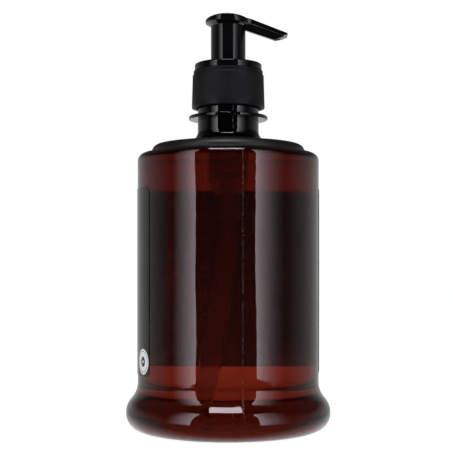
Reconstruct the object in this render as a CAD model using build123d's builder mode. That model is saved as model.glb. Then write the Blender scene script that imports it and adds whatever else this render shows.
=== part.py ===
"""Soap pump dispenser: a round amber bottle with a screw-on press pump.

Millimetres, +Z up. The origin is the centre of the bottle's standing face, the spout
points along +X and the middle of the label faces roughly +Y. At rest the head is up.
"""
import math
import os

from build123d import *

# ---------------------------------------------------------------- clearances
running_gap = 0.05        # radial gap of a part that slides or turns in another
push_fit_gap = 0.02       # radial gap of a part pressed into another
snap_fit_gap = 0.1        # radial gap of a part snapped into another
flat_gap = 0.1            # gap between flat faces that turn on each other
valve_gap = 0.05          # gap between a valve part and its seat

# ---------------------------------------------------------------- bottle body
body_radius = 39.0
body_wall = 1.1
shoulder_z = 118.1        # top of the straight wall's rounded shoulder
foot_overhang = 5.05      # how far the bulged foot stands out from the straight wall
foot_widest_z = 7.6
heel_round = 7.15
foot_top_round = 8.55
waist_round = 10.3        # hollow curve from the foot into the straight wall
standing_ring_width = 3.4
base_push_up = 3.0
shoulder_round = 3.2
shoulder_land = 6.1       # from the straight wall in to the step of the raised dome
land_rise = 0.5
dome_step_height = 3.2
dome_rise = 2.8           # from the dome's edge up to the neck, before its fillet
dome_step_round = 0.5
dome_edge_round = 3.0
neck_root_round = 3.9

# ---------------------------------------------------------------- neck finish, 28 mm, 6 threads per inch
neck_bore_gap = 0.78      # radial gap between the pump's cup and the neck
finish_wall = 1.65
neck_step = 0.7           # how much thicker the neck is below the thread
ring_height_on_dome = 8.5
ring_overhang = 3.85
ring_thickness = 1.5
ring_edge_round = 0.4
finish_height = 18.1      # from the ring's underside to the top of the neck
finish_root_height = 12.0 # length of the thinner neck that carries the thread
thread_pitch = 25.4 / 6
thread_turns = 1.5
thread_depth = 1.15
thread_root_width = 2.3
thread_crest_width = 1.1
thread_start_depth = 8.9  # start of the thread below the top of the neck
thread_radial_gap = 0.3
thread_sink = 0.1         # how far each thread's root reaches into its wall

# ---------------------------------------------------------------- label
label_thickness = 0.2
label_bottom_z = 24.2
label_top_margin = 15.0
label_start_deg = -8.0
label_sweep_deg = 221.5

# ---------------------------------------------------------------- closure, gasket and lock collar
closure_wall = 1.82       # skirt wall at its open end
closure_taper = 0.37
closure_height_over_ring = 4.9
bevel_height = 0.4
bevel_band_height = 1.9
closure_panel_thickness = 1.0
closure_hole_gap = 0.78   # radial gap between the collar's sleeve and the closure's hole
gasket_thickness = 0.8
flange_thickness = 1.0
flange_overlap = 1.4      # how far the housing's flange reaches out over the neck
collar_inset = 0.9        # how much smaller the collar is than the closure's top
collar_height = 3.0
collar_edge_round = 0.8
lip_gap = 0.83            # from the collar's bore out to its raised lip
lip_width = 0.9
lip_height = 0.4
sleeve_wall = 1.3
sleeve_floor_thickness = 1.2
wiper_thickness = 1.2

# ---------------------------------------------------------------- pump housing
cup_wall = 1.1
cup_floor_thickness = 1.2
barrel_bore_radius = 5.5
barrel_wall = 0.9
ball_lip_thickness = 0.8
ball_lip_overlap = 0.2
inlet_ball_radius = 2.5
inlet_side_gap = 0.7
inlet_lift = 1.6
inlet_lift_spare = 0.1
inlet_port_radius = 1.9
inlet_port_length = 2.0
tube_radius = 3.5
tube_wall = 0.8
socket_depth = 9.5
socket_wall = 1.2
vent_radius = 0.6

# ---------------------------------------------------------------- plunger
stroke = 11.5
stroke_spare = 0.6        # room left under the shroud with the head fully down
stem_radius = 3.2
stem_bore_radius = 1.9
stem_below_cup = 4.0
outlet_ball_radius = 1.7
outlet_side_gap = 0.6
outlet_port_radius = 1.2
outlet_chamber_length = 4.0
seat_flange_gap = 0.9     # radial gap between the piston seat and the barrel
seat_flange_thickness = 1.2
seat_post_length = 11.0
seat_nub_gap = 0.6        # radial gap between the piston seat's nub and the coils
seat_nub_length = 2.3
seat_bore_radius = 0.9
seat_port_radius = 0.35
piston_valve_travel = 0.8
piston_length = 5.1
piston_lip_height = 1.0
piston_waist = 0.75       # how much slimmer the piston is between its lips
piston_lip_slope = 0.6
wire_radius = 0.4
spring_side_gap = 0.7     # from the coils out to the barrel
spring_turns = 7.0
spring_pressed_length = 8.3

# ---------------------------------------------------------------- actuator, drops counted from its top
head_parked_height = 8.3  # from the collar up to the head's top with the head fully down
shroud_radius = 7.47
shroud_wall = 1.1
shroud_engagement = 4.7   # length of shroud inside the collar with the head up
head_overhang = 2.33      # how far the press disc stands out from the shroud
head_crown = 0.6
head_rim_drop = 2.3
head_underside_drop = 3.5
head_edge_round = 0.6
socket_tube_wall = 1.18
socket_length = 13.0
stem_top_drop = 6.0
spout_corner_x = 9.75
spout_corner_half_width = 6.4
spout_corner_drop = 1.3
spout_wall_height = 2.3
spout_waist_x = 8.3
spout_waist_half_width = 4.9
spout_tip_x = 25.6
spout_tip_half_width = 4.2
spout_tip_drop = 7.0
spout_tip_cut = 1.6       # how far the tip's lower edge is cut back
spout_tip_bottom_drop = 9.2
nozzle_half_width = 3.1
nozzle_root_drop = 5.3
nozzle_low_x = 19.9
nozzle_low_drop = 9.5
nozzle_front_x = 23.4
nozzle_front_drop = 8.5
channel_radius = 1.3
spout_bore_radius = 1.1
spout_bore_start_drop = 1.8
spout_bore_slope = 0.278  # fall of the spout's bore per millimetre outwards
outlet_x = 21.4
outlet_radius = 1.4

# ---------------------------------------------------------------- dip tube
tube_straight = 25.0      # from the top of the tube down to the corner of its bend
tube_foot_x = -8.5
tube_foot_z = 8.0
tube_bend_radius = 300.0

# ---------------------------------------------------------------- radii, worked out from the shroud outwards
sleeve_bore_radius = shroud_radius + running_gap
sleeve_radius = sleeve_bore_radius + sleeve_wall
lip_inner_radius = sleeve_bore_radius + lip_gap
lip_outer_radius = lip_inner_radius + lip_width
cup_bore_radius = sleeve_radius + snap_fit_gap
cup_radius = cup_bore_radius + cup_wall
neck_bore_radius = cup_radius + neck_bore_gap
finish_root_radius = neck_bore_radius + finish_wall
neck_radius = finish_root_radius + neck_step
ring_radius = neck_radius + ring_overhang
flange_radius = neck_bore_radius + flange_overlap
closure_bore_radius = finish_root_radius + thread_depth + thread_radial_gap
closure_bottom_radius = closure_bore_radius + closure_wall
closure_top_radius = closure_bottom_radius - closure_taper
closure_hole_radius = sleeve_radius + closure_hole_gap
bevel_radius = closure_top_radius - bevel_height
collar_radius = closure_top_radius - collar_inset
head_radius = shroud_radius + head_overhang

# ---------------------------------------------------------------- bottle places, worked out
foot_radius = body_radius + foot_overhang
standing_ring_outer = foot_radius - heel_round
standing_ring_inner = standing_ring_outer - standing_ring_width
dome_radius = body_radius - shoulder_land
dome_step_z = shoulder_z + land_rise
dome_edge_z = dome_step_z + dome_step_height
dome_top_z = dome_edge_z + dome_rise
ring_bottom_z = dome_top_z + ring_height_on_dome
neck_top_z = ring_bottom_z + finish_height
finish_root_z = neck_top_z - finish_root_height
thread_start_z = neck_top_z - thread_start_depth
label_top_z = shoulder_z - label_top_margin

# ---------------------------------------------------------------- closure and collar places, worked out
flange_bottom_z = neck_top_z + gasket_thickness
flange_top_z = flange_bottom_z + flange_thickness
panel_bottom_z = flange_top_z + flat_gap
panel_top_z = panel_bottom_z + closure_panel_thickness
collar_bottom_z = panel_top_z + flat_gap
collar_top_z = collar_bottom_z + collar_height
closure_bottom_z = ring_bottom_z + closure_height_over_ring
skirt_top_z = panel_top_z - bevel_band_height

# ---------------------------------------------------------------- pump places, worked out
head_top_z = collar_top_z + stroke + head_parked_height
shroud_bottom_z = collar_top_z - shroud_engagement
sleeve_floor_z = shroud_bottom_z - stroke - stroke_spare
sleeve_bottom_z = sleeve_floor_z - sleeve_floor_thickness
cup_floor_z = sleeve_bottom_z - wiper_thickness
stem_bottom_z = cup_floor_z - stem_below_cup
stem_top_z = head_top_z - stem_top_drop
stem_hole_radius = stem_radius + running_gap
outlet_seat_z = stem_top_z - outlet_chamber_length
outlet_chamber_radius = outlet_ball_radius + outlet_side_gap
outlet_ball_z = outlet_seat_z + valve_gap + math.sqrt(outlet_ball_radius ** 2 - outlet_port_radius ** 2)
piston_top_z = stem_bottom_z - piston_valve_travel - valve_gap
piston_bottom_z = piston_top_z - piston_length
piston_radius = barrel_bore_radius - running_gap
seat_flange_top_z = piston_bottom_z - valve_gap
seat_flange_bottom_z = seat_flange_top_z - seat_flange_thickness
seat_post_radius = stem_bore_radius - push_fit_gap
piston_bore_radius = seat_post_radius + running_gap
spring_ledge_z = seat_flange_bottom_z - stroke - spring_pressed_length
barrel_radius = barrel_bore_radius + barrel_wall
spring_radius = barrel_bore_radius - spring_side_gap - wire_radius
seat_flange_radius = barrel_bore_radius - seat_flange_gap
seat_nub_radius = spring_radius - wire_radius - seat_nub_gap
inlet_chamber_radius = inlet_ball_radius + inlet_side_gap
ball_lip_radius = inlet_ball_radius - ball_lip_overlap
chamber_top_z = spring_ledge_z - ball_lip_thickness
inlet_ball_z = chamber_top_z - inlet_lift_spare - inlet_lift - inlet_ball_radius
inlet_seat_z = inlet_ball_z - valve_gap - math.sqrt(inlet_ball_radius ** 2 - inlet_port_radius ** 2)
cone_top_z = inlet_seat_z + inlet_chamber_radius - inlet_port_radius
tube_top_z = inlet_seat_z - inlet_port_length
tube_socket_radius = tube_radius + push_fit_gap

# ---------------------------------------------------------------- head places, worked out
head_rim_z = head_top_z - head_rim_drop
head_underside_z = head_top_z - head_underside_drop
socket_bottom_z = stem_top_z - socket_length
stem_socket_radius = stem_radius + push_fit_gap
spout_corner_z = head_top_z - spout_corner_drop
spout_tip_z = head_top_z - spout_tip_drop
spout_tip_bottom_z = head_top_z - spout_tip_bottom_drop
nozzle_root_z = head_top_z - nozzle_root_drop
spout_bore_start_z = head_top_z - spout_bore_start_drop
spout_bore_end_z = spout_bore_start_z - spout_bore_slope * outlet_x


def ring(inner_radius, outer_radius, bottom_z, top_z, mode=Mode.ADD):
    """A plain ring, or a disc where the inner radius is 0."""
    with BuildSketch(Plane.XY.offset(bottom_z)) as outline:
        Circle(outer_radius)
        if inner_radius > 0:
            Circle(inner_radius, mode=Mode.SUBTRACT)
    extrude(outline.sketch, amount=top_z - bottom_z, mode=mode)


def turned(points, mode=Mode.ADD):
    """A solid of revolution from corners given as (radius, height)."""
    with BuildSketch(Plane.XZ) as outline:
        with BuildLine():
            Polyline(*points, close=True)
        make_face()
    revolve(outline.sketch, axis=Axis.Z, mode=mode)


def thread(root_radius, start_z, outward):
    """A helical thread; outward is 1 on a neck and -1 in a bore."""
    with BuildLine():
        path = Helix(thread_pitch, thread_turns * thread_pitch, root_radius, center=(0, 0, start_z))
    with BuildSketch(Plane(origin=path @ 0, x_dir=(1, 0, 0), z_dir=path % 0)) as outline:
        with BuildLine():
            Polyline(
                (-outward * thread_sink, -thread_root_width / 2),
                (outward * thread_depth, -thread_crest_width / 2),
                (outward * thread_depth, thread_crest_width / 2),
                (-outward * thread_sink, thread_root_width / 2),
                close=True,
            )
        make_face()
    sweep(outline.sketch, path=path, is_frenet=True)


def circles_of(builder, radius):
    """The circular edges of one radius, lowest first."""
    circles = builder.edges().filter_by(GeomType.CIRCLE)
    return circles.filter_by(lambda edge: abs(edge.radius - radius) < running_gap).sort_by(Axis.Z)


def finish(piece, name):
    """Label a finished piece and write it."""
    piece.label = name
    export_step(piece, f"parts/{name}.step")


os.makedirs("parts", exist_ok=True)

# ---------------------------------------------------------------- bottle
foot_centre_x = foot_radius - foot_top_round
waist_centre_x = body_radius + waist_round
centre_distance = foot_top_round + waist_round
foot_turn = math.acos((waist_centre_x - foot_centre_x) / centre_distance)
waist_centre_z = foot_widest_z + centre_distance * math.sin(foot_turn)
foot_turn_deg = math.degrees(foot_turn)

with BuildSketch(Plane.XZ) as bottle_outline:
    with BuildLine():
        base = ThreePointArc(
            (0, base_push_up),
            (standing_ring_inner * 0.5, base_push_up * 0.75),
            (standing_ring_inner, 0),
        )
        Line(base @ 1, (standing_ring_outer, 0))
        heel = CenterArc((standing_ring_outer, heel_round), heel_round, -90, 90)
        Line(heel @ 1, (foot_radius, foot_widest_z))
        CenterArc((foot_centre_x, foot_widest_z), foot_top_round, 0, foot_turn_deg)
        waist_centre = (waist_centre_x, waist_centre_z)
        waist = CenterArc(waist_centre, waist_round, 180 + foot_turn_deg, -foot_turn_deg)
        FilletPolyline(
            waist @ 1,
            (body_radius, shoulder_z),
            (dome_radius, dome_step_z),
            (dome_radius, dome_edge_z),
            (neck_radius, dome_top_z),
            (neck_radius, finish_root_z),
            radius=[shoulder_round, dome_step_round, dome_edge_round, neck_root_round],
        )
        Polyline((neck_radius, finish_root_z), (0, finish_root_z), (0, base_push_up))
    make_face()
    mirror(about=Plane.YZ)

with BuildSketch(Plane.XZ) as bottle_hollow:
    add(bottle_outline.sketch)
    offset(amount=-body_wall, mode=Mode.REPLACE)
    with Locations((0, dome_top_z)):
        Rectangle(4 * neck_radius, neck_top_z, align=(Align.CENTER, Align.MIN), mode=Mode.SUBTRACT)
    split(bisect_by=Plane.YZ)

with BuildPart() as bottle:
    with BuildSketch(Plane.XZ):
        add(bottle_outline.sketch)
        split(bisect_by=Plane.YZ)
    revolve(axis=Axis.Z)
    ring(0, finish_root_radius, finish_root_z, neck_top_z)
    ring(0, ring_radius, ring_bottom_z, ring_bottom_z + ring_thickness)
    fillet(circles_of(bottle, ring_radius), ring_edge_round)
    thread(finish_root_radius, thread_start_z, outward=1)
    add(bottle_hollow.sketch)
    revolve(axis=Axis.Z, mode=Mode.SUBTRACT)
    ring(0, neck_bore_radius, dome_top_z - 2 * body_wall, neck_top_z, mode=Mode.SUBTRACT)
finish(bottle.part, "bottle")

# ---------------------------------------------------------------- label
with BuildPart() as label:
    with BuildSketch(Plane.XY.offset(label_bottom_z)):
        with BuildLine():
            inner = CenterArc((0, 0), body_radius, label_start_deg, label_sweep_deg)
            outer = CenterArc((0, 0), body_radius + label_thickness, label_start_deg, label_sweep_deg)
            Line(inner @ 0, outer @ 0)
            Line(inner @ 1, outer @ 1)
        make_face()
    extrude(amount=label_top_z - label_bottom_z)
finish(label.part, "label")

# ---------------------------------------------------------------- closure
with BuildPart() as closure:
    turned([
        (closure_bore_radius, closure_bottom_z),
        (closure_bottom_radius, closure_bottom_z),
        (closure_top_radius, skirt_top_z),
        (bevel_radius, skirt_top_z + bevel_height),
        (bevel_radius, panel_top_z),
        (closure_hole_radius, panel_top_z),
        (closure_hole_radius, panel_bottom_z),
        (closure_bore_radius, panel_bottom_z),
    ])
    thread(closure_bore_radius, thread_start_z - thread_pitch / 2, outward=-1)
finish(closure.part, "closure")

# ---------------------------------------------------------------- gasket
with BuildPart() as gasket:
    ring(cup_radius + push_fit_gap, flange_radius, neck_top_z, flange_bottom_z)
finish(gasket.part, "gasket")

# ---------------------------------------------------------------- lock collar
with BuildPart() as lock_collar:
    ring(sleeve_bore_radius, collar_radius, collar_bottom_z, collar_top_z)
    fillet(circles_of(lock_collar, collar_radius)[-1], collar_edge_round)
    ring(lip_inner_radius, lip_outer_radius, collar_top_z, collar_top_z + lip_height)
    ring(sleeve_bore_radius, sleeve_radius, sleeve_bottom_z, collar_bottom_z)
    ring(stem_hole_radius, sleeve_radius, sleeve_bottom_z, sleeve_floor_z)
finish(lock_collar.part, "lock_collar")

# ---------------------------------------------------------------- stem wiper
with BuildPart() as stem_wiper:
    ring(stem_hole_radius, cup_bore_radius - push_fit_gap, cup_floor_z, sleeve_bottom_z)
finish(stem_wiper.part, "stem_wiper")

# ---------------------------------------------------------------- housing
with BuildPart() as housing:
    turned([
        (cup_bore_radius, flange_top_z),
        (flange_radius, flange_top_z),
        (flange_radius, flange_bottom_z),
        (cup_radius, flange_bottom_z),
        (cup_radius, cup_floor_z),
        (barrel_radius, cup_floor_z - 2 * cup_floor_thickness),
        (barrel_radius, chamber_top_z),
        (tube_socket_radius + socket_wall, inlet_seat_z),
        (tube_socket_radius + socket_wall, tube_top_z - socket_depth),
        (tube_socket_radius, tube_top_z - socket_depth),
        (tube_socket_radius, tube_top_z),
        (inlet_port_radius, tube_top_z),
        (inlet_port_radius, inlet_seat_z),
        (inlet_chamber_radius, cone_top_z),
        (inlet_chamber_radius, chamber_top_z),
        (ball_lip_radius, chamber_top_z),
        (ball_lip_radius, spring_ledge_z),
        (barrel_bore_radius, spring_ledge_z),
        (barrel_bore_radius, cup_floor_z),
        (cup_bore_radius, cup_floor_z),
    ])
    with BuildSketch(Plane.YZ):
        with Locations((0, stem_bottom_z)):
            Circle(vent_radius)
    extrude(amount=2 * barrel_radius, mode=Mode.SUBTRACT)
finish(housing.part, "housing")

# ---------------------------------------------------------------- inlet ball
with BuildPart(Plane.XY.offset(inlet_ball_z)) as inlet_ball:
    Sphere(inlet_ball_radius)
finish(inlet_ball.part, "inlet_ball")

# ---------------------------------------------------------------- spring
with BuildPart() as spring:
    spring_bottom_z = spring_ledge_z + wire_radius
    spring_length = seat_flange_bottom_z - spring_ledge_z - 2 * wire_radius
    with BuildLine():
        spring_pitch = spring_length / spring_turns
        coil = Helix(spring_pitch, spring_length, spring_radius, center=(0, 0, spring_bottom_z))
    with BuildSketch(Plane(origin=coil @ 0, x_dir=(1, 0, 0), z_dir=coil % 0)):
        Circle(wire_radius)
    sweep(path=coil, is_frenet=True)
finish(spring.part, "spring")

# ---------------------------------------------------------------- piston seat
with BuildPart() as piston_seat:
    ring(0, seat_nub_radius, seat_flange_bottom_z - seat_nub_length, seat_flange_bottom_z)
    ring(0, seat_flange_radius, seat_flange_bottom_z, seat_flange_top_z)
    ring(0, seat_post_radius, seat_flange_top_z, seat_flange_top_z + seat_post_length)
    seat_bore_bottom_z = seat_flange_top_z + seat_port_radius / 2
    ring(0, seat_bore_radius, seat_bore_bottom_z, seat_flange_top_z + seat_post_length, mode=Mode.SUBTRACT)
    with BuildSketch(Plane.YZ):
        with Locations((0, seat_flange_top_z + 2 * seat_port_radius)):
            Circle(seat_port_radius)
    extrude(amount=2 * seat_post_radius, both=True, mode=Mode.SUBTRACT)
finish(piston_seat.part, "piston_seat")

# ---------------------------------------------------------------- piston
with BuildPart() as piston:
    turned([
        (piston_bore_radius, piston_bottom_z),
        (piston_radius, piston_bottom_z),
        (piston_radius, piston_bottom_z + piston_lip_height),
        (piston_radius - piston_waist, piston_bottom_z + piston_lip_height + piston_lip_slope),
        (piston_radius - piston_waist, piston_top_z - piston_lip_height - piston_lip_slope),
        (piston_radius, piston_top_z - piston_lip_height),
        (piston_radius, piston_top_z),
        (piston_bore_radius, piston_top_z),
    ])
finish(piston.part, "piston")

# ---------------------------------------------------------------- stem
with BuildPart() as stem:
    ring(stem_bore_radius, stem_radius, stem_bottom_z, outlet_seat_z - stem_bore_radius)
    ring(outlet_port_radius, stem_radius, outlet_seat_z - stem_bore_radius, outlet_seat_z)
    ring(outlet_chamber_radius, stem_radius, outlet_seat_z, stem_top_z)
finish(stem.part, "stem")

# ---------------------------------------------------------------- outlet ball
with BuildPart(Plane.XY.offset(outlet_ball_z)) as outlet_ball:
    Sphere(outlet_ball_radius)
finish(outlet_ball.part, "outlet_ball")

# ---------------------------------------------------------------- actuator
with BuildPart() as head_roof:
    with BuildSketch(Plane.XZ):
        with BuildLine():
            crown = ThreePointArc(
                (-head_radius, head_top_z - head_crown),
                (-head_radius / 3, head_top_z + head_crown),
                (spout_corner_x, spout_corner_z),
            )
            Polyline(
                crown @ 1,
                (spout_tip_x, spout_tip_z),
                (spout_tip_x - spout_tip_cut, spout_tip_bottom_z),
                (spout_corner_x, spout_corner_z - spout_wall_height),
                (0, head_rim_z),
                (-head_radius, head_rim_z),
                crown @ 0,
            )
        make_face()
    extrude(amount=head_radius, both=True)
    with BuildSketch(Plane.XY.offset(spout_tip_bottom_z)):
        Circle(head_radius)
        with BuildLine():
            Polyline(
                (0, spout_waist_half_width),
                (spout_waist_x, spout_waist_half_width),
                (spout_corner_x, spout_corner_half_width),
                (spout_tip_x, spout_tip_half_width),
                (spout_tip_x, -spout_tip_half_width),
                (spout_corner_x, -spout_corner_half_width),
                (spout_waist_x, -spout_waist_half_width),
                (0, -spout_waist_half_width),
                close=True,
            )
        make_face()
    extrude(amount=2 * head_radius, mode=Mode.INTERSECT)
    crown_rim = head_roof.edges().filter_by(GeomType.BSPLINE).sort_by(SortBy.LENGTH)[-1]
    fillet(crown_rim, head_edge_round)

with BuildPart() as actuator:
    add(head_roof.part)
    turned([
        (0, head_underside_z - shroud_wall),
        (shroud_radius, head_underside_z - shroud_wall),
        (shroud_radius, head_underside_z),
        (head_radius, head_rim_z),
        (0, head_rim_z),
    ])
    with BuildSketch(Plane.XZ):
        with BuildLine():
            Polyline(
                (0, head_rim_z),
                (0, nozzle_root_z),
                (shroud_radius, nozzle_root_z),
                (nozzle_low_x, head_top_z - nozzle_low_drop),
                (nozzle_front_x, head_top_z - nozzle_front_drop),
                (nozzle_front_x, spout_tip_z),
                (spout_corner_x, spout_corner_z - shroud_wall),
                close=True,
            )
        make_face()
    extrude(amount=nozzle_half_width, both=True)
    ring(shroud_radius - shroud_wall, shroud_radius, shroud_bottom_z, head_underside_z)
    ring(0, stem_socket_radius + socket_tube_wall, socket_bottom_z, head_rim_z)
    ring(0, stem_socket_radius, socket_bottom_z, stem_top_z, mode=Mode.SUBTRACT)
    ring(0, channel_radius, stem_top_z, spout_bore_start_z, mode=Mode.SUBTRACT)
    with BuildSketch(Plane(origin=(outlet_x, 0, spout_bore_end_z), z_dir=(-1, 0, spout_bore_slope))):
        Circle(spout_bore_radius)
    extrude(amount=outlet_x * math.hypot(1, spout_bore_slope), mode=Mode.SUBTRACT)
    with BuildSketch(Plane.XY.offset(spout_bore_end_z)):
        with Locations((outlet_x, 0)):
            Circle(outlet_radius)
    extrude(amount=-2 * nozzle_half_width, mode=Mode.SUBTRACT)
finish(actuator.part, "actuator")

# ---------------------------------------------------------------- dip tube
with BuildPart() as dip_tube:
    with BuildLine(Plane.XZ) as tube_path:
        FilletPolyline(
            (0, tube_top_z),
            (0, tube_top_z - tube_straight),
            (tube_foot_x, tube_foot_z),
            radius=tube_bend_radius,
        )
    with BuildSketch(Plane.XY.offset(tube_top_z)):
        Circle(tube_radius)
        Circle(tube_radius - tube_wall, mode=Mode.SUBTRACT)
    sweep(path=tube_path.wires()[0])
finish(dip_tube.part, "dip_tube")
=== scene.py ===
import math

import bmesh
import bpy
import numpy as np
from mathutils import Matrix, Vector


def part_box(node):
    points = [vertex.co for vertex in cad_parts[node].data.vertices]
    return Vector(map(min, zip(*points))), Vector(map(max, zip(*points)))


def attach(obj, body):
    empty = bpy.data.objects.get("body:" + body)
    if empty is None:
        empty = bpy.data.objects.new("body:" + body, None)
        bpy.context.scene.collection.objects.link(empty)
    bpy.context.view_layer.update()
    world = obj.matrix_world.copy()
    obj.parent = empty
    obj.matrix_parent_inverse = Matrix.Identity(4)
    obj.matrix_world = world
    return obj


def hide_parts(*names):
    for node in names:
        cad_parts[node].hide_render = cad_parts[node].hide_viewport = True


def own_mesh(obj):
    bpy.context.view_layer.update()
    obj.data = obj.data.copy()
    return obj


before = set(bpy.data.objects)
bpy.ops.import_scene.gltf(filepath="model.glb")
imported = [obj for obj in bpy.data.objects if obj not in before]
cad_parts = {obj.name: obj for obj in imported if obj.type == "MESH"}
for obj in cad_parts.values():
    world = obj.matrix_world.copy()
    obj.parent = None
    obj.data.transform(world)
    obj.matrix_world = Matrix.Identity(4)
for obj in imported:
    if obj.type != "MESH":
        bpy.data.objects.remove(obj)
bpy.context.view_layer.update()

MM = 0.001

# ---------------------------------------------------------------- places taken from the CAD nodes in model.glb, in millimetres


def node_box(name):
    """Lowest and highest corner of a CAD node, in millimetres."""
    low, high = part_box(name)
    return low / MM, high / MM


bottle_low, bottle_high = node_box("bottle")
label_low, label_high = node_box("label")
closure_low, closure_high = node_box("closure")
collar_low, collar_high = node_box("lock_collar")
head_low, head_high = node_box("actuator")
foot_overhang = 5.05
head_overhang = 2.33
crown_over_edge = 0.68
top_above_shoulder = 33.1
foot_radius = bottle_high.x
body_radius = foot_radius - foot_overhang
label_radius = -label_low.x
closure_radius = closure_high.x
collar_radius = collar_high.x
collar_lip_height = 0.4
collar_top = collar_high.z - collar_lip_height
head_radius = -head_low.x
head_top = head_high.z - crown_over_edge
shroud_radius = head_radius - head_overhang
shoulder_height = bottle_high.z - top_above_shoulder


# ---------------------------------------------------------------- mesh helpers


def new_piece(name, bm, body, smooth_angle=35):
    """Turn a bmesh in millimetres into a piece in metres that rides on a CAD body."""
    bmesh.ops.remove_doubles(bm, verts=bm.verts, dist=1e-5)
    bmesh.ops.recalc_face_normals(bm, faces=bm.faces)
    bmesh.ops.scale(bm, vec=(MM, MM, MM), verts=bm.verts)
    for face in bm.faces:
        face.smooth = True
    for edge in bm.edges:
        if len(edge.link_faces) == 2:
            edge.smooth = edge.calc_face_angle(0) < math.radians(smooth_angle)
    mesh = bpy.data.meshes.new(name)
    bm.to_mesh(mesh)
    bm.free()
    piece = bpy.data.objects.new(name, mesh)
    bpy.context.scene.collection.objects.link(piece)
    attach(piece, body)
    return piece


def lathe(outline, steps=192, shape=None):
    """Turn a closed (radius, height) outline about Z; shape may change each point's radius."""
    bm = bmesh.new()
    rings = []
    for step in range(steps):
        angle = 2 * math.pi * step / steps
        ring = []
        for index, (radius, height) in enumerate(outline):
            if shape:
                radius = shape(index, radius, height, angle)
            ring.append(bm.verts.new((radius * math.cos(angle), radius * math.sin(angle), height)))
        rings.append(ring)
    count = len(outline)
    for step in range(steps):
        here, after = rings[step], rings[(step + 1) % steps]
        for index in range(count):
            following = (index + 1) % count
            if outline[index][0] > 0 or outline[following][0] > 0:
                bm.faces.new((here[index], after[index], after[following], here[following]))
    bmesh.ops.remove_doubles(bm, verts=bm.verts, dist=1e-4)
    return bm


def arc(centre, radius, start, end, steps=8):
    """Points on an arc, angles in degrees."""
    angles = np.radians(np.linspace(start, end, steps + 1))
    return [(centre[0] + radius * math.cos(a), centre[1] + radius * math.sin(a)) for a in angles]


def rounded(corners, steps=6):
    """A closed outline from (x, y, round) corners, each rounded by its own radius."""
    outline = []
    for index, (x, y, radius) in enumerate(corners):
        here = Vector((x, y))
        before = (Vector(corners[index - 1][:2]) - here).normalized()
        after = (Vector(corners[(index + 1) % len(corners)][:2]) - here).normalized()
        if radius == 0:
            outline.append((x, y))
            continue
        half = before.angle(after) / 2
        reach = radius / math.tan(half)
        centre = here + (before + after).normalized() * (radius / math.sin(half))
        start = here + before * reach - centre
        turn = start.angle_signed(here + after * reach - centre)
        for step in range(steps + 1):
            spoke = start.copy()
            spoke.rotate(Matrix.Rotation(-turn * step / steps, 2))
            outline.append(tuple(centre + spoke))
    return outline


def boolean(base, tool, operation):
    """The union or difference of two closed bmeshes, as a new bmesh."""
    objects = []
    for source in (base, tool):
        bmesh.ops.recalc_face_normals(source, faces=source.faces)
        mesh = bpy.data.meshes.new("boolean")
        source.to_mesh(mesh)
        source.free()
        thing = bpy.data.objects.new("boolean", mesh)
        bpy.context.scene.collection.objects.link(thing)
        objects.append(thing)
    modifier = objects[0].modifiers.new("cut", "BOOLEAN")
    modifier.operation = operation
    modifier.object = objects[1]
    modifier.solver = "MANIFOLD"
    bpy.context.view_layer.update()
    shown = objects[0].evaluated_get(bpy.context.evaluated_depsgraph_get())
    result = bmesh.new()
    result.from_mesh(shown.to_mesh())
    shown.to_mesh_clear()
    for thing in objects:
        mesh = thing.data
        bpy.data.objects.remove(thing)
        bpy.data.meshes.remove(mesh)
    return result


# ---------------------------------------------------------------- materials


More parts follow.
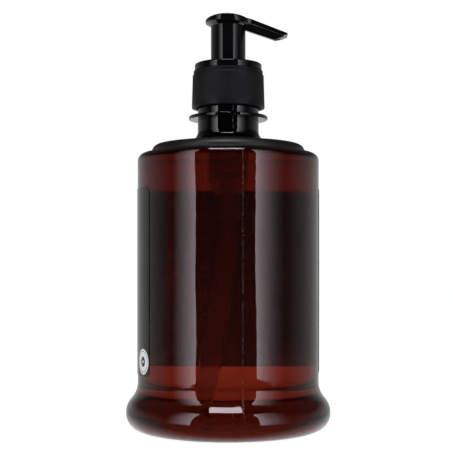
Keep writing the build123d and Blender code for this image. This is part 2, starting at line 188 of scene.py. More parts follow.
class Shader:
    """A node material built by short calls."""

    def __init__(self, name):
        self.material = bpy.data.materials.new(name)
        self.material.use_nodes = True
        self.tree = self.material.node_tree
        self.surface = self.tree.nodes["Principled BSDF"]
        self.place = self.node("ShaderNodeTexCoord").outputs["Object"]

    def node(self, kind, **settings):
        made = self.tree.nodes.new(kind)
        for key, value in settings.items():
            setattr(made, key, value)
        return made

    def feed(self, socket, value):
        if isinstance(value, bpy.types.NodeSocket):
            self.tree.links.new(value, socket)
        else:
            socket.default_value = value

    def set(self, **values):
        """Set or link the Principled shader's sockets by name, underscores for spaces."""
        for key, value in values.items():
            self.feed(self.surface.inputs[key.replace("_", " ")], value)
        return self

    def math(self, operation, *values):
        made = self.node("ShaderNodeMath", operation=operation)
        for socket, value in zip(made.inputs, values, strict=False):
            self.feed(socket, value)
        return made.outputs[0]

    def axes(self):
        made = self.node("ShaderNodeSeparateXYZ")
        self.feed(made.inputs[0], self.place)
        return made.outputs

    def stretched(self, x, y, z):
        made = self.node("ShaderNodeMapping")
        self.feed(made.inputs["Vector"], self.place)
        made.inputs["Scale"].default_value = (x, y, z)
        return made.outputs[0]

    def noise(self, scale, detail=2.0, roughness=0.5, vector=None):
        made = self.node("ShaderNodeTexNoise")
        self.feed(made.inputs["Vector"], vector or self.place)
        made.inputs["Scale"].default_value = scale
        made.inputs["Detail"].default_value = detail
        made.inputs["Roughness"].default_value = roughness
        return made.outputs[0]

    def between(self, value, low, high, to_low=0.0, to_high=1.0):
        made = self.node("ShaderNodeMapRange", interpolation_type="SMOOTHSTEP")
        for socket, number in zip(made.inputs, (value, low, high, to_low, to_high), strict=False):
            self.feed(socket, number)
        return made.outputs[0]

    def blend(self, share, low, high):
        made = self.node("ShaderNodeMix", data_type="RGBA")
        self.feed(made.inputs[0], share)
        self.feed(made.inputs[6], low if isinstance(low, bpy.types.NodeSocket) else (*low, 1))
        self.feed(made.inputs[7], high if isinstance(high, bpy.types.NodeSocket) else (*high, 1))
        return made.outputs[2]

    def bump(self, height, distance, strength=1.0, below=None):
        made = self.node("ShaderNodeBump")
        made.inputs["Strength"].default_value = strength
        made.inputs["Distance"].default_value = distance
        self.feed(made.inputs["Height"], height)
        if below:
            self.feed(made.inputs["Normal"], below)
        return made.outputs[0]

    def absorb(self, color, density):
        made = self.node("ShaderNodeVolumeAbsorption")
        made.inputs["Color"].default_value = (*color, 1)
        made.inputs["Density"].default_value = density
        output = self.tree.nodes["Material Output"]
        self.tree.links.new(made.outputs[0], output.inputs["Volume"])
        return self


def scratches(shader, scale, amount):
    """Faint hair scratches as a mask from 0 to 1."""
    streaks = shader.noise(scale, 4.0, 0.7, shader.stretched(1.0, 1.0, 0.08))
    patches = shader.noise(scale / 9, 2.0)
    fine = shader.between(streaks, 0.62, 0.7)
    broken = shader.math("MULTIPLY", fine, shader.between(patches, 0.45, 0.6))
    return shader.math("MULTIPLY", broken, amount)


def amber_pet():
    """Dark amber blow-moulded bottle plastic with gentle waves and two mould lines; its colour carries
    painted shade, darker up the body and near black over the shoulder, dome and neck.
    """
    s = Shader("amber_pet")
    x, y, z = s.axes()
    waves = s.noise(55.0, 1.0, 0.4, s.stretched(1.0, 1.0, 0.35))
    swirl = s.noise(240.0, 2.0, 0.5, s.stretched(1.0, 1.0, 0.5))
    seam_turn = math.radians(8.5)
    along_x = s.math("MULTIPLY", x, math.cos(seam_turn))
    along_y = s.math("MULTIPLY", y, math.sin(seam_turn))
    across = s.math("ADD", along_x, along_y)
    seam = s.between(s.math("ABSOLUTE", across), 0.00005, 0.00022, 1.0, 0.0)
    flecks = s.between(s.noise(900.0, 3.0, 0.6), 0.5, 0.62)
    seam_flecks = s.math("MULTIPLY", seam, flecks)
    rough = s.math("ADD", s.between(s.noise(90.0, 3.0), 0.3, 0.7, 0.012, 0.035), scratches(s, 700.0, 0.12))
    rough = s.math("ADD", rough, s.math("MULTIPLY", seam_flecks, 0.3))
    from_dome = s.math("ABSOLUTE", s.math("SUBTRACT", z, (shoulder_height + 2.9) * MM))
    rough = s.math("ADD", rough, s.between(from_dome, 0.0026, 0.0036, 0.42, 0.0))
    body = s.between(z, shoulder_height * MM, (shoulder_height + 4.0) * MM, 1.0, 0.12)
    normal = s.bump(s.math("MULTIPLY", waves, body), 0.0003)
    normal = s.bump(swirl, 0.00002, 1.0, normal)
    normal = s.bump(s.math("ADD", seam, s.math("MULTIPLY", seam_flecks, 0.6)), 0.00004, 1.0, normal)
    # painted shade: the amber colour darkens from the lower body upward, for the upper body getting less
    # light than the floor-lit bottom
    upper_painted_shade = s.between(z, 0.025, 0.1)
    # painted shade: the shoulder, dome and neck are tinted near black, standing in for how little light gets
    # through them
    dome_painted_shade = s.between(z, (shoulder_height - 4.5) * MM, (shoulder_height + 1.0) * MM)
    tint = s.blend(upper_painted_shade, (1.0, 1.0, 1.0), (0.68, 0.56, 0.6))
    tint = s.blend(s.between(z, 0.005, 0.013), (0.8, 0.8, 0.85), tint)
    tint = s.blend(dome_painted_shade, tint, (0.1, 0.12, 0.15))
    s.set(Base_Color=s.blend(seam_flecks, tint, (0.9, 0.8, 0.75)), Roughness=rough, Normal=normal)
    s.set(Transmission_Weight=1.0, IOR=1.57)
    return s.absorb((0.63, 0.19, 0.008), 2400.0).material


def soap_liquid():
    """Clear liquid soap with a faint honey tint."""
    s = Shader("soap_liquid")
    ripple = s.noise(120.0, 2.0, 0.5)
    s.set(Base_Color=s.blend(ripple, (1.0, 1.0, 1.0), (0.99, 0.98, 0.95)), Roughness=0.0)
    s.set(Transmission_Weight=1.0, IOR=1.36, Normal=s.bump(ripple, 0.00001))
    return s.absorb((0.8, 0.5, 0.3), 3.0).material


def gloss_black():
    """Glossy black polypropylene with moulding orange peel and faint handling marks."""
    s = Shader("gloss_black")
    peel = s.noise(420.0, 2.0, 0.5)
    grain = s.noise(2600.0, 2.0, 0.6)
    marks = scratches(s, 900.0, 0.05)
    rough = s.math("ADD", s.between(s.noise(150.0, 3.0), 0.3, 0.7, 0.07, 0.12), marks)
    tint = s.blend(s.noise(200.0, 2.0), (0.0018, 0.0016, 0.002), (0.0028, 0.0026, 0.003))
    normal = s.bump(grain, 0.000002, 1.0, s.bump(peel, 0.00001))
    s.set(Base_Color=tint, Roughness=rough, Normal=normal, IOR=1.46)
    return s.material


def matte_black():
    """Finely textured black closure plastic, a little polished on the rib crests."""
    s = Shader("closure_plastic")
    grain = s.noise(3800.0, 3.0, 0.65)
    mottle = s.noise(160.0, 3.0, 0.6)
    x, y, z = s.axes()
    radius = s.math("SQRT", s.math("ADD", s.math("MULTIPLY", x, x), s.math("MULTIPLY", y, y)))
    crest = s.between(radius, (closure_radius - 0.5) * MM, closure_radius * MM)
    rough = s.math("SUBTRACT", s.between(mottle, 0.3, 0.7, 0.46, 0.56), s.math("MULTIPLY", crest, 0.08))
    tint = s.blend(mottle, (0.003, 0.0029, 0.0034), (0.005, 0.0049, 0.0056))
    s.set(Base_Color=tint, Roughness=rough, Normal=s.bump(grain, 0.000012), IOR=1.36)
    return s.material


def label_film():
    """Black printed film, thin rules, a drop and a round mark."""
    s = Shader("label_film")
    x, y, z = s.axes()
    radius = s.math("SQRT", s.math("ADD", s.math("MULTIPLY", x, x), s.math("MULTIPLY", y, y)))
    face = s.between(radius, (label_radius - 0.06) * MM, (label_radius - 0.03) * MM)
    turn = s.math("ARCTAN2", s.math("MULTIPLY", x, -1.0), y)
    arc_length = s.math("MULTIPLY", turn, label_radius)
    height = s.math("DIVIDE", z, MM)
    front = math.radians(label_middle_deg - 90) * label_radius
    across = s.math("SUBTRACT", arc_length, front)
    middle = (label_low.z + label_high.z) / 2
    up = s.math("SUBTRACT", height, middle)

    def box_mask(centre_x, centre_z, half_width, half_height):
        side = s.math("SUBTRACT", s.math("ABSOLUTE", s.math("SUBTRACT", across, centre_x)), half_width)
        rise = s.math("SUBTRACT", s.math("ABSOLUTE", s.math("SUBTRACT", up, centre_z)), half_height)
        return s.between(s.math("MAXIMUM", side, rise), -0.04, 0.04, 1.0, 0.0)

    def distance(centre_x, centre_z):
        dx = s.math("SUBTRACT", across, centre_x)
        dz = s.math("SUBTRACT", up, centre_z)
        return s.math("SQRT", s.math("ADD", s.math("MULTIPLY", dx, dx), s.math("MULTIPLY", dz, dz)))

    def add(*masks):
        total = masks[0]
        for mask in masks[1:]:
            total = s.math("MAXIMUM", total, mask)
        return total

    rules = add(*(box_mask(0.0, level, 24.0, 0.16) for level in (31.0, -31.0)))
    bar_widths = (17.0, 13.0, 15.0, 9.0)
    bars = add(*(box_mask(0.0, -12.0 - 3.4 * row, width, 0.5) for row, width in enumerate(bar_widths)))
    belly = s.between(distance(0.0, 8.0), 6.4, 6.5, 1.0, 0.0)
    slope = s.math("ADD", s.math("MULTIPLY", s.math("ABSOLUTE", across), 1.9), s.math("SUBTRACT", up, 8.0))
    cone = s.math("MULTIPLY", s.between(slope, 14.4, 14.5, 1.0, 0.0), s.between(up, 9.8, 9.9))
    drop = add(belly, cone)
    glint = s.between(s.math("ABSOLUTE", s.math("SUBTRACT", distance(0.0, 8.0), 4.6)), 0.3, 0.4, 1.0, 0.0)
    glint_right = s.between(across, 0.6, 0.8)
    glint_low = s.between(up, 7.0, 7.2, 1.0, 0.0)
    glint = s.math("MULTIPLY", glint, s.math("MULTIPLY", glint_right, glint_low))
    drop = s.math("MULTIPLY", drop, s.math("SUBTRACT", 1.0, glint))
    print_mask = add(rules, bars, drop)

    mark_turn = math.radians(mark_deg - label_middle_deg) * label_radius
    mark = distance(mark_turn, mark_height - middle)
    disc = s.between(mark, 5.3, 5.4, 1.0, 0.0)
    ring = s.math("MULTIPLY", s.between(mark, 4.2, 4.25), s.between(mark, 4.45, 4.5, 1.0, 0.0))
    centre = s.math("MULTIPLY", s.between(mark, 2.1, 2.2, 1.0, 0.0), s.between(mark, 0.6, 0.7))
    mark_white = s.math("MULTIPLY", disc, s.math("SUBTRACT", 1.0, add(ring, centre)))

    mottle = s.noise(500.0, 3.0, 0.6)
    black = s.blend(mottle, (0.003, 0.0028, 0.003), (0.0045, 0.0042, 0.0045))
    printed = s.blend(print_mask, black, (0.62, 0.57, 0.5))
    printed = s.blend(mark_white, printed, (0.8, 0.8, 0.8))
    back = s.blend(mottle, (0.004, 0.004, 0.004), (0.007, 0.007, 0.007))
    rough = s.between(s.noise(260.0, 3.0), 0.3, 0.7, 0.09, 0.15)
    grain = s.noise(5200.0, 2.0)
    waves = s.noise(70.0, 1.0)
    s.set(Base_Color=s.blend(face, back, printed), Roughness=rough, IOR=1.48)
    s.set(Normal=s.bump(grain, 0.000004, 1.0, s.bump(waves, 0.0001)))
    return s.material


def plain_plastic(name, low, high, roughness, transmission, ior):
    """A natural or white plastic with slight mottling; ior is set against what surrounds it."""
    s = Shader(name)
    mottle = s.noise(300.0, 3.0, 0.55)
    s.set(Base_Color=s.blend(mottle, low, high), IOR=ior)
    s.set(Roughness=s.between(mottle, 0.3, 0.7, roughness - 0.05, roughness + 0.05))
    s.set(Normal=s.bump(s.noise(2400.0, 2.0), 0.000006), Transmission_Weight=transmission)
    return s.material


def foam():
    """White closed-cell foam of the gasket."""
    s = Shader("gasket_foam")
    cells = s.node("ShaderNodeTexVoronoi")
    s.feed(cells.inputs["Vector"], s.place)
    cells.inputs["Scale"].default_value = 2500.0
    s.set(Base_Color=s.blend(cells.outputs[0], (0.85, 0.85, 0.83), (0.7, 0.7, 0.68)), Roughness=0.8)
    s.set(Normal=s.bump(cells.outputs[0], 0.00005))
    return s.material


def steel():
    """Drawn stainless wire."""
    s = Shader("spring_steel")
    draw = s.noise(1500.0, 3.0, 0.6, s.stretched(0.3, 0.3, 1.0))
    s.set(Base_Color=s.blend(draw, (0.5, 0.5, 0.49), (0.66, 0.65, 0.63)), Metallic=1.0)
    s.set(Roughness=s.between(draw, 0.3, 0.7, 0.18, 0.32), Normal=s.bump(draw, 0.000005))
    return s.material


def ball_glass():
    """Polished valve ball."""
    s = Shader("valve_glass")
    haze = s.noise(800.0, 2.0)
    s.set(Base_Color=s.blend(haze, (0.95, 0.98, 0.97), (0.9, 0.95, 0.94)), Transmission_Weight=1.0, IOR=1.52)
    s.set(Roughness=s.between(haze, 0.4, 0.7, 0.0, 0.03))
    return s.material


# ---------------------------------------------------------------- label

label_start_deg = -8.0
label_sweep_deg = 221.5
label_middle_deg = label_start_deg + label_sweep_deg / 2
mark_deg = 205.1
mark_height = label_low.z + 6.1
label_corner = 3.0
label_embed = 0.03


def label_piece():
    """The label as a thin curved sheet with rounded corners, its back just inside the bottle's skin."""
    bm = bmesh.new()
    corner_rows = [label_corner * (1 - math.cos(math.radians(a))) for a in range(0, 91, 15)]
    height = label_high.z - label_low.z
    heights = corner_rows + [height / 4, height / 2, height * 3 / 4]
    heights += [height - h for h in corner_rows[::-1]]
    columns = 220
    sheets = []
    for radius in (body_radius - label_embed, label_radius):
        rows = []
        for h in heights:
            edge = min(h, height - h)
            inset = 0.0
            if edge < label_corner:
                inset = label_corner - math.sqrt(label_corner ** 2 - (label_corner - edge) ** 2)
            trim = math.degrees(inset / label_radius)
            first = label_start_deg + trim
            last = label_start_deg + label_sweep_deg - trim
            row = []
            for t in np.radians(np.linspace(first, last, columns)):
                row.append(bm.verts.new((radius * math.cos(t), radius * math.sin(t), label_low.z + h)))
            rows.append(row)
        sheets.append(rows)
    for rows in sheets:
        for low, high in zip(rows, rows[1:]):
            for index in range(columns - 1):
                bm.faces.new((low[index], low[index + 1], high[index + 1], high[index]))
    inner, outer = sheets
    for a, b in ((inner[0], outer[0]), (inner[-1], outer[-1])):
        for index in range(columns - 1):
            bm.faces.new((a[index], a[index + 1], b[index + 1], b[index]))
    for side in (0, -1):
        for row in range(len(heights) - 1):
            bm.faces.new((inner[row][side], inner[row + 1][side], outer[row + 1][side], outer[row][side]))
    piece = new_piece("label_sheet", bm, "bottle", 40)
    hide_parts("label")
    piece.data.materials.append(label_film())
    return piece


# ---------------------------------------------------------------- soap in the bottle

wall = 1.1
wall_overlap = 0.05
soap_level = bottle_high.z - 35.5
push_up = 3.0
heel_round = 7.15
foot_widest = 7.6
foot_top_round = 8.55
waist_round = 10.3


def soap_piece():
    """The liquid, its skin a hair inside the bottle's wall so that no air shows between them."""
    inset = wall - wall_overlap
    ring = foot_radius - heel_round
    centre_x = foot_radius - foot_top_round
    reach = foot_top_round + waist_round
    turn = math.degrees(math.acos((body_radius + waist_round - centre_x) / reach))
    waist_z = foot_widest + reach * math.sin(math.radians(turn))
    outline = [(0.0, push_up + inset), (ring * 0.45, push_up * 0.75 + inset), (ring - 3.4, inset)]
    outline += arc((ring, heel_round), heel_round - inset, -90, 0, 12)
    outline += arc((centre_x, foot_widest), foot_top_round - inset, 0, turn, 8)
    outline += arc((body_radius + waist_round, waist_z), waist_round + inset, 180 + turn, 180, 8)
    meniscus = 0.8
    outline += [(body_radius - inset, soap_level)]
    outline += arc((body_radius - inset - meniscus, soap_level + meniscus), meniscus, 0, -90, 6)[1:]
    outline += [(0.0, soap_level)]
    piece = new_piece("soap_fill", lathe(outline, 180), "bottle", 50)
    piece.data.materials.append(soap_liquid())
    return piece


# ---------------------------------------------------------------- closure

rib_count = 110
rib_depth = 0.1
skirt_taper = 0.37
thread_pitch = 25.4 / 6
thread_turns = 1.5
thread_depth = 1.15
thread_root_half = 1.15
thread_crest_half = 0.55
thread_start = bottle_high.z - 8.9 - thread_pitch / 2
closure_bore = closure_radius - 1.82
closure_hole = 9.6
skirt_top = closure_high.z - 1.9


def thread_height(angle, height):
    """How far the closure's thread stands out of its bore at a place, in millimetres."""
    tallest = 0.0
    for lap in range(2):
        turns = angle / (2 * math.pi) + lap
        if turns > thread_turns:
            continue
        off = abs(height - thread_start - turns * thread_pitch)
        flank = (thread_root_half - off) / (thread_root_half - thread_crest_half)
        lead = min(turns, thread_turns - turns) / 0.04
        tallest = max(tallest, thread_depth * max(0.0, min(1.0, flank, lead)))
    return tallest


def closure_piece():
    """The screw closure with fine upright ribs outside and its thread inside."""
    bottom = closure_low.z
    top_radius = closure_radius - skirt_taper
    band_radius = top_radius - 0.4
    outline = [(closure_radius - 0.45, bottom), (closure_radius - 0.12, bottom + 0.08)]
    outline += [(closure_radius, bottom + 0.35)]
    ribbed_from = len(outline)
    rows = 10
    for row in range(rows + 1):
        share = row / rows
        height = bottom + 0.7 + (skirt_top - 0.5 - bottom - 0.7) * share
        outline.append((closure_radius - skirt_taper * share, height))
    ribbed_to = len(outline)
    outline += [(top_radius, skirt_top - 0.15), (top_radius - 0.1, skirt_top)]
    outline += [(band_radius, skirt_top + 0.25)]
    outline += [(band_radius, skirt_top + 0.75), (band_radius - 0.12, skirt_top + 0.85)]
    outline += [(band_radius - 0.12, skirt_top + 1.0)]
    outline += [(band_radius, skirt_top + 1.1)]
    outline += arc((band_radius - 0.25, closure_high.z - 0.25), 0.25, 0, 90, 4)
    panel_bottom = closure_high.z - 1.0
    outline += [(closure_hole, closure_high.z), (closure_hole, panel_bottom), (closure_bore, panel_bottom)]
    bore_from = len(outline)
    bore_rows = 44
    for row in range(1, bore_rows):
        outline.append((closure_bore, panel_bottom + (bottom + 0.3 - panel_bottom) * row / bore_rows))
    bore_to = len(outline)
    outline.append((closure_bore + 0.3, bottom))

    def shape(index, radius, height, angle):
        if ribbed_from < index < ribbed_to - 1:
            return radius - rib_depth * (0.5 - 0.5 * math.cos(rib_count * angle)) ** 2
        if bore_from <= index < bore_to:
            return radius - thread_height(angle, height)
        return radius

    turned = lathe(outline, rib_count * 6, shape)
    piece = new_piece("closure_ribbed", turned, "closure_ring", 50)
    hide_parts("closure")
    piece.data.materials.append(matte_black())
    return piece


# ---------------------------------------------------------------- lock collar

def collar_piece(black):
    """The glossy collar with a rounded edge, a raised lip and its sleeve below."""
    bottom = collar_high.z - collar_lip_height - 3.0
    bore = shroud_radius + 0.05
    sleeve = bore + 1.3
    edge = 0.8
    outline = [(sleeve, bottom), (collar_radius - 0.15, bottom), (collar_radius, bottom + 0.15)]
    outline += arc((collar_radius - edge, collar_top - edge), edge, 0, 84, 8)
    lip = collar_high.z
    outline += [(bore + 1.95, collar_top + 0.01), (bore + 1.75, collar_top + 0.03), (bore + 1.58, lip - 0.06)]
    outline += [(bore + 1.46, lip), (bore + 0.95, lip), (bore + 0.85, lip - 0.08)]
    outline += [(bore + 0.75, collar_top), (bore + 0.2, collar_top), (bore, collar_top - 0.2)]
    floor = collar_low.z + 1.2
    outline += [(bore, floor), (3.25, floor), (3.25, collar_low.z), (sleeve, collar_low.z)]
    piece = new_piece("lock_collar_gloss", lathe(outline, 192), "pump_body", 40)
    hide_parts("lock_collar")
    piece.data.materials.append(black)
    return piece


# ---------------------------------------------------------------- actuator

spout_corner_x = 9.75
spout_corner_half = 6.4
spout_waist_deg = 35.0
spout_tip_x = head_high.x
spout_tip_half = 4.2
corner_drop = 1.3
crown_rise = 0.6
crown_curve = 0.01644
tip_drop = 7.0
wall_height = 2.3
rim_drop = 2.3
underside_drop = 3.5
tip_cut = 1.6
tip_bottom_drop = 8.3
nozzle_half = 3.1
nozzle_root_drop = 5.3
nozzle_low_x = 19.9
nozzle_low_drop = 9.5
nozzle_front_x = 23.4
nozzle_front_drop = 8.5
outlet_x = 21.4
outlet_radius = 1.4


def roof_height(x, y):
    """Top of the press disc and spout roof."""
    if x < spout_corner_x:
        height = head_top + crown_rise - crown_curve * (x + 1.0) ** 2
    else:
        slope = (tip_drop - corner_drop) / (spout_tip_x - spout_corner_x)
        height = head_top - corner_drop - slope * (x - spout_corner_x)
    return height - 0.003 * y * y


def roof_bottom(x):
    """Underside of the press disc and spout roof."""
    if x < 0:
        return head_top - rim_drop
    corner = head_top - corner_drop - wall_height
    if x < spout_corner_x:
        return head_top - rim_drop + (corner - head_top + rim_drop) * x / spout_corner_x
    tip = head_top - tip_bottom_drop
    return corner + (tip - corner) * (x - spout_corner_x) / (spout_tip_x - tip_cut - spout_corner_x)


def head_outline():
    """The head seen from above: press disc, narrow waist and tapering spout."""
    waist = math.radians(spout_waist_deg)
    waist_x, waist_y = head_radius * math.cos(waist), head_radius * math.sin(waist)
    corners = [
        (waist_x, -waist_y, 0.5),
        (spout_corner_x, -spout_corner_half, 0.35),
        (spout_tip_x, -spout_tip_half, 0.7),
        (spout_tip_x, spout_tip_half, 0.7),
        (spout_corner_x, spout_corner_half, 0.35),
        (waist_x, waist_y, 0.5),
    ]
    for degrees in range(int(spout_waist_deg) + 5, 360 - int(spout_waist_deg) - 4, 5):
        turn = math.radians(degrees)
        corners.append((head_radius * math.cos(turn), head_radius * math.sin(turn), 0))
    spread = []
    outline = rounded(corners)
    for here, after in zip(outline, outline[1:] + outline[:1]):
        pieces = max(1, round(math.dist(here, after) / 0.9))
        for part in range(pieces):
            share = part / pieces
            spread.append((here[0] + (after[0] - here[0]) * share, here[1] + (after[1] - here[1]) * share))
    return spread


def head_plate():
    """Press disc and spout roof as rings of one outline, rounded over at the top edge."""
    outline = head_outline()
    count = len(outline)
    normals = []
    for index in range(count):
        before, after = Vector(outline[index - 1]), Vector(outline[(index + 1) % count])
        along = (after - before).normalized()
        normals.append(Vector((along.y, -along.x)))
    top_round, bottom_round = 0.5, 0.25
    bm = bmesh.new()
    rings = []

    def ring(inset, height, share=1.0):
        made = []
        for (x, y), normal in zip(outline, normals):
            px, py = x - normal.x * inset, y - normal.y * inset
            spine = min(max(px, 0.0), spout_tip_x - 5.0)
            px, py = spine + (px - spine) * share, py * share
            made.append(bm.verts.new(height(px, py)))
        rings.append(made)

    def top(drop):
        return lambda x, y: (x, y, roof_height(x, y) - drop)

    def bottom(lift):
        def place(x, y):
            pull = tip_cut * min(max((x - spout_tip_x + 5.6) / 5.6, 0.0), 1.0)
            return (x - pull, y, roof_bottom(x - pull) + lift)
        return place

    for share in (0.0, 0.2, 0.4, 0.6, 0.8, 0.95):
        ring(top_round, top(0.0), share)
    for step in range(6):
        turn = math.radians(18 * step)
        ring(top_round * (1 - math.sin(turn)), top(top_round * (1 - math.cos(turn))))
    for step in range(4):
        turn = math.radians(30 * step)
        ring(bottom_round * (1 - math.cos(turn)), bottom(bottom_round * (1 - math.sin(turn))))
    for share in (0.8, 0.5, 0.2, 0.0):
        ring(bottom_round, bottom(0.0), share)
    for low, high in zip(rings, rings[1:]):
        for index in range(count):
            following = (index + 1) % count
            bm.faces.new((low[index], low[following], high[following], high[index]))
    bmesh.ops.remove_doubles(bm, verts=bm.verts, dist=1e-4)
    bmesh.ops.dissolve_degenerate(bm, edges=bm.edges, dist=1e-4)
    return bm


def nozzle():
    """Round-bottomed spout tube under the roof, cut off by the slanted outlet face."""
    fall = (nozzle_low_drop - nozzle_root_drop) / (nozzle_low_x - shroud_radius)
    bm = bmesh.new()
    section = [(-nozzle_half, 0.6), *arc((0.0, 0.0), nozzle_half, 180, 360, 24), (nozzle_half, 0.6)]
    rings = []
    for x in (4.0, nozzle_front_x + 0.4):
        axis = head_top - nozzle_root_drop - fall * (x - shroud_radius) + nozzle_half
        rings.append([bm.verts.new((x, y, axis + z)) for y, z in section])
    for index in range(len(section)):
        following = (index + 1) % len(section)
        bm.faces.new((rings[0][index], rings[0][following], rings[1][following], rings[1][index]))
    bm.faces.new(rings[0])
    bm.faces.new(rings[1][::-1])
    rise = nozzle_low_drop - nozzle_front_drop
    normal = Vector((rise, 0.0, nozzle_low_x - nozzle_front_x)).normalized()
    place = Vector((nozzle_low_x, 0.0, head_top - nozzle_low_drop))
    everything = bm.verts[:] + bm.edges[:] + bm.faces[:]
    cut = bmesh.ops.bisect_plane(bm, geom=everything, plane_co=place, plane_no=normal, clear_outer=True)
    edges = [g for g in cut["geom_cut"] if isinstance(g, bmesh.types.BMEdge)]
    bmesh.ops.holes_fill(bm, edges=edges)
    return bm


def rod(x, radius, low, high, steps=40):
    """A closed upright rod."""
    bm = bmesh.new()
    depth = high - low
    bmesh.ops.create_cone(bm, cap_ends=True, segments=steps, radius1=radius, radius2=radius, depth=depth)
    bmesh.ops.translate(bm, verts=bm.verts, vec=(x, 0.0, (low + high) / 2))
    return bm


def actuator_piece(black):
    """Head, spout and shroud joined into one moulding, with the outlet bored into its face."""
    rim = head_top - rim_drop
    under = head_top - underside_drop
    inner = shroud_radius - 1.1
    low = head_low.z
    tube = [(inner, low + 0.15), (inner + 0.15, low), (shroud_radius - 0.2, low), (shroud_radius, low + 0.2)]
    tube += [(shroud_radius, under - 0.35), (shroud_radius + 0.05, under - 0.12)]
    tube += [(shroud_radius + 0.22, under + 0.05), (head_radius - 0.3, rim - 0.04)]
    tube += [(head_radius - 0.12, rim + 0.1), (head_radius - 0.3, rim + 0.4)]
    tube += [(0.0, rim + 0.4), (0.0, under), (inner, under)]
    socket = [(3.22, head_top - 19.0), (4.4, head_top - 19.0), (4.4, under + 0.3), (3.22, under + 0.3)]
    solid = boolean(head_plate(), lathe(tube, 144), "UNION")
    solid = boolean(solid, nozzle(), "UNION")
    solid = boolean(solid, lathe(socket, 72), "UNION")
    outlet_low = head_top - 10.5
    solid = boolean(solid, rod(outlet_x, outlet_radius, outlet_low, outlet_low + 3.6), "DIFFERENCE")
    piece = new_piece("actuator_head", solid, "plunger", 30)
    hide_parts("actuator")
    piece.data.materials.append(black)
    return piece


# ---------------------------------------------------------------- return spring

spring_low, spring_high = node_box("spring")
wire_radius = 0.4
spring_turns = 7.0
spring_closed_turns = 0.9
spring_free_length = spring_high.z - spring_low.z


def spring_piece():
    """The coil spring with closed end turns."""
    radius = spring_high.x - wire_radius
    steps_per_turn = 36
    count = round(spring_turns * steps_per_turn)
    closed_rise = 2 * wire_radius
    rise = spring_free_length - 2 * wire_radius
    turn_marks = [0.0, spring_closed_turns, spring_turns - spring_closed_turns, spring_turns]
    rise_marks = [0.0, closed_rise, rise - closed_rise, rise]
    bm = bmesh.new()
    rings = []
    for step in range(count + 1):
        turns = step / steps_per_turn
        angle = 2 * math.pi * turns
        height = spring_low.z + wire_radius + float(np.interp(turns, turn_marks, rise_marks))
        ring = []
        for x, z in arc((radius, height), wire_radius, 0, 330, 11):
            ring.append(bm.verts.new((x * math.cos(angle), x * math.sin(angle), z)))
        rings.append(ring)
    for here, after in zip(rings, rings[1:]):
        for index in range(len(here)):
            following = (index + 1) % len(here)
            bm.faces.new((here[index], after[index], after[following], here[following]))
    bm.faces.new(rings[0])
    bm.faces.new(rings[-1][::-1])
    piece = new_piece("spring_coil", bm, "return_spring", 50)
    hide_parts("spring")
    piece.data.materials.append(steel())
    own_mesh(piece)
    return piece


# ---------------------------------------------------------------- finishes of the CAD nodes that stay


def paint(node, material):
    """Give a CAD node one material."""
    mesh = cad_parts[node].data
    mesh.materials.clear()
    mesh.materials.append(material)


def paint_nodes():
    paint("bottle", amber_pet())
    natural = plain_plastic("natural_pp", (0.82, 0.8, 0.76), (0.88, 0.87, 0.84), 0.2, 0.75, 1.12)
    tube = plain_plastic("tube_pe", (0.9, 0.89, 0.87), (0.95, 0.94, 0.92), 0.12, 0.85, 1.08)
    seal = plain_plastic("seal_pe", (0.8, 0.8, 0.78), (0.86, 0.86, 0.84), 0.4, 0.1, 1.45)
    for node in ("housing", "stem", "piston_seat"):
        paint(node, natural)
    paint("dip_tube", tube)
    for node in ("piston", "stem_wiper"):
        paint(node, seal)
    paint("gasket", foam())
    glass = ball_glass()
    for node in ("inlet_ball", "outlet_ball"):
        paint(node, glass)


# ---------------------------------------------------------------- studio


def panel(name, centre, aim, width, height, strength, falloff, flip=False):
    """A soft light panel; falloff shapes how its brightness drops across its width, 0 for even."""
    mesh = bpy.data.meshes.new(name)
    bm = bmesh.new()
    half_w, half_h = width / 2, height / 2
    corners = ((-half_w, -half_h), (half_w, -half_h), (half_w, half_h), (-half_w, half_h))
    bm.faces.new([bm.verts.new((*corner, 0)) for corner in corners])
    bm.to_mesh(mesh)
    bm.free()
    light = bpy.data.objects.new(name, mesh)
    bpy.context.scene.collection.objects.link(light)
    light.location = centre
    light.rotation_euler = (Vector(aim) - Vector(centre)).to_track_quat("Z", "Y").to_euler()
    light.visible_camera = False
    light.visible_shadow = False
    s = Shader(name)
    x, y, z = s.axes()
    glow = s.node("ShaderNodeEmission")
    glow.inputs["Color"].default_value = (0.93, 0.92, 1.0, 1.0)
    share = s.math("ADD", s.math("MULTIPLY", x, (-1.0 if flip else 1.0) / width), 0.5)
    bright = s.math("POWER", s.math("MAXIMUM", share, 0.0), falloff)
    s.feed(glow.inputs["Strength"], s.math("MULTIPLY", bright, strength))
    output = s.tree.nodes["Material Output"]
    both = s.node("ShaderNodeAddShader")
    s.tree.links.new(glow.outputs[0], both.inputs[0])
    s.tree.links.new(s.node("ShaderNodeBsdfTransparent").outputs[0], both.inputs[1])
    s.tree.links.new(both.outputs[0], output.inputs["Surface"])
    mesh.materials.append(s.material)


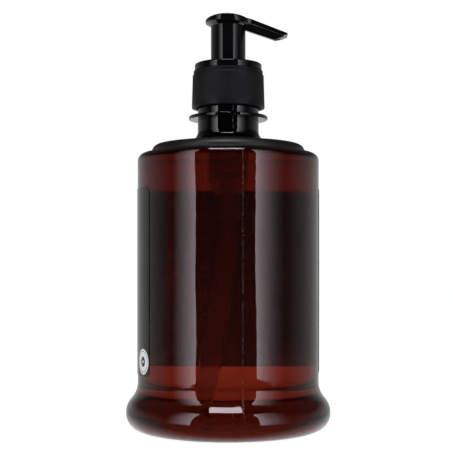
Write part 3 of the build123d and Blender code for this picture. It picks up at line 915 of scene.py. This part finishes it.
def studio():
    """White backdrop, two tall side panels, one overhead panel and a pale floor."""
    world = bpy.data.worlds.new("studio")
    bpy.context.scene.world = world
    world.use_nodes = True
    tree = world.node_tree
    background = tree.nodes["Background"]
    path = tree.nodes.new("ShaderNodeLightPath")
    place = tree.nodes.new("ShaderNodeTexCoord")
    split = tree.nodes.new("ShaderNodeSeparateXYZ")
    tree.links.new(place.outputs["Generated"], split.inputs[0])
    shade = None
    for axis, numbers in (
        ("Y", (-0.3, 1.0, 0.03, 0.6)),
        ("Z", (0.08, 0.35, 1.0, 0.15)),
        ("Z", (-0.4, -0.08, 2.2, 1.0)),
        ("Z", (-0.95, -0.5, 1.5, 1.0)),
    ):
        fade = tree.nodes.new("ShaderNodeMapRange")
        for socket, number in zip(list(fade.inputs)[1:5], numbers, strict=True):
            socket.default_value = number
        tree.links.new(split.outputs[axis], fade.inputs[0])
        if shade is None:
            shade = fade.outputs[0]
            continue
        product = tree.nodes.new("ShaderNodeMath")
        product.operation = "MULTIPLY"
        tree.links.new(shade, product.inputs[0])
        tree.links.new(fade.outputs[0], product.inputs[1])
        shade = product.outputs[0]
    seen = tree.nodes.new("ShaderNodeMath")
    seen.operation = "MAXIMUM"
    tree.links.new(path.outputs["Is Camera Ray"], seen.inputs[0])
    tree.links.new(path.outputs["Is Transmission Ray"], seen.inputs[1])
    both = tree.nodes.new("ShaderNodeMath")
    both.operation = "MAXIMUM"
    tree.links.new(seen.outputs[0], both.inputs[0])
    tree.links.new(shade, both.inputs[1])
    tree.links.new(both.outputs[0], background.inputs["Strength"])
    background.inputs["Color"].default_value = (1.0, 1.0, 1.0, 1.0)

    mesh = bpy.data.meshes.new("floor")
    bm = bmesh.new()
    bmesh.ops.create_grid(bm, x_segments=1, y_segments=1, size=6.0)
    bm.to_mesh(mesh)
    bm.free()
    floor = bpy.data.objects.new("floor", mesh)
    bpy.context.scene.collection.objects.link(floor)
    floor.location.z = -0.0003
    floor.visible_glossy = False
    s = Shader("floor_pale")
    s.set(Base_Color=s.blend(s.noise(3.0, 2.0), (0.5, 0.5, 0.5), (0.56, 0.56, 0.56)), Roughness=0.9)
    s.set(Emission_Color=(1.0, 1.0, 1.0, 1.0), Emission_Strength=0.965)
    mesh.materials.append(s.material)

    reach = 0.9
    for name, azimuth, width, strength, falloff in (
        ("panel_left", -55.5, 0.52, 3.3, 1.6),
        ("panel_right", 58.0, 0.8, 3.5, 3.0),
    ):
        turn = math.radians(azimuth)
        centre = (reach * math.sin(turn), -reach * math.cos(turn), 0.51)
        panel(name, centre, (0.0, 0.0, centre[2]), width, 1.18, strength, falloff, azimuth < 0)
    panel("panel_top", (-0.045, -0.42, 1.08), (0.0, 0.0, 0.1), 0.56, 0.3, 9.0, 0.0)


def camera():
    """A level camera with a rise, as for a product shot."""
    eye_height = 0.0714
    distance = 0.459
    sensor = 36.0
    focal_pixels = 1062.0
    image_size = 453.0
    data = bpy.data.cameras.new("camera")
    data.sensor_width = sensor
    data.lens = focal_pixels / image_size * sensor
    data.shift_y = 0.0806
    data.shift_x = -0.0038
    view = bpy.data.objects.new("camera", data)
    bpy.context.scene.collection.objects.link(view)
    view.location = (0.0, -distance, eye_height)
    view.rotation_euler = (math.radians(90.0), 0.0, 0.0)
    bpy.context.scene.camera = view


# ---------------------------------------------------------------- build

paint_nodes()
label_piece()
soap_piece()
closure_piece()
moulded_black = gloss_black()
collar_piece(moulded_black)
actuator_piece(moulded_black)
spring_piece()
studio()
camera()
bpy.context.scene.view_settings.view_transform = "Standard"
